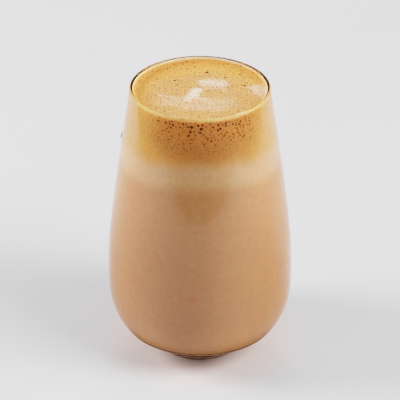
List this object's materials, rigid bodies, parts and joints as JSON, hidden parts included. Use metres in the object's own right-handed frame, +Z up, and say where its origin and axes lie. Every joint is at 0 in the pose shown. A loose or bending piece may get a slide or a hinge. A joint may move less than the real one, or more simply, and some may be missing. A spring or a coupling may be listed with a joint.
{
  "type": "glass of cappuccino",
  "caption": "Stemless tumbler with a round bowl and narrow rim, brimful of milky coffee under a pale milk foam band and a golden bubbly crema head.",
  "frame": {"origin": "middle of the foot's underside, on the surface that the glass stands on", "axes": "+Z up along the glass's axis; -Y faces the viewer of the reference view, +X to the viewer's right"},
  "size_m": [0.08, 0.08, 0.124],
  "materials": {
    "clear_glass": "clear colourless soda-lime glass, polished all over",
    "milky_coffee": null,
    "milk_foam": null,
    "crema": null
  },
  "bodies": {
    "root": {"glass": "clear_glass", "coffee": "milky_coffee", "milk_foam": "milk_foam", "crema_head": "crema"}
  },
  "joints": []
}
